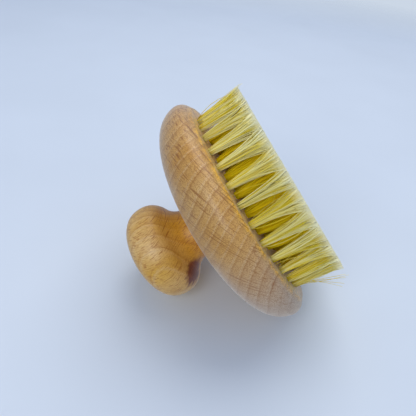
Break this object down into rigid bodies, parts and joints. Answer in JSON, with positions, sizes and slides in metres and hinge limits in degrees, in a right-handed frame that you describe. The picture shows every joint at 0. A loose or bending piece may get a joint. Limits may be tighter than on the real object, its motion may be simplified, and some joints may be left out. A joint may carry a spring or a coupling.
{
  "type": "round beard brush",
  "caption": "Round beard brush: a domed wooden disc with a turned knob handle on its back and rings of flat-trimmed plant-fibre tufts on its face.",
  "frame": {"origin": "middle of the trimmed bristle tips, which are the lowest point of the brush", "axes": "+Z along the turning axis, from the bristle tips towards the knob; +X through one tuft of every ring"},
  "size_m": [0.0906, 0.0906, 0.0683],
  "materials": {
    "beech_block": "satin, lightly lacquered beech",
    "beech_knob": "satin, oiled beech",
    "beech_dowel": "raw wood",
    "plant_fibre": "pale, stiff natural fibre",
    "anchor_wire": "drawn flat wire"
  },
  "bodies": {
    "root": {"brush_block": "beech_block", "knob": "beech_knob", "dowel_pin": "beech_dowel", "tufts_centre": "plant_fibre", "tufts_ring_1": "plant_fibre", "tufts_ring_2": "plant_fibre", "tufts_ring_3": "plant_fibre", "tufts_ring_4": "plant_fibre", "tufts_ring_5": "plant_fibre", "anchors_centre": "anchor_wire", "anchors_ring_1": "anchor_wire", "anchors_ring_2": "anchor_wire", "anchors_ring_3": "anchor_wire", "anchors_ring_4": "anchor_wire", "anchors_ring_5": "anchor_wire"}
  },
  "joints": []
}
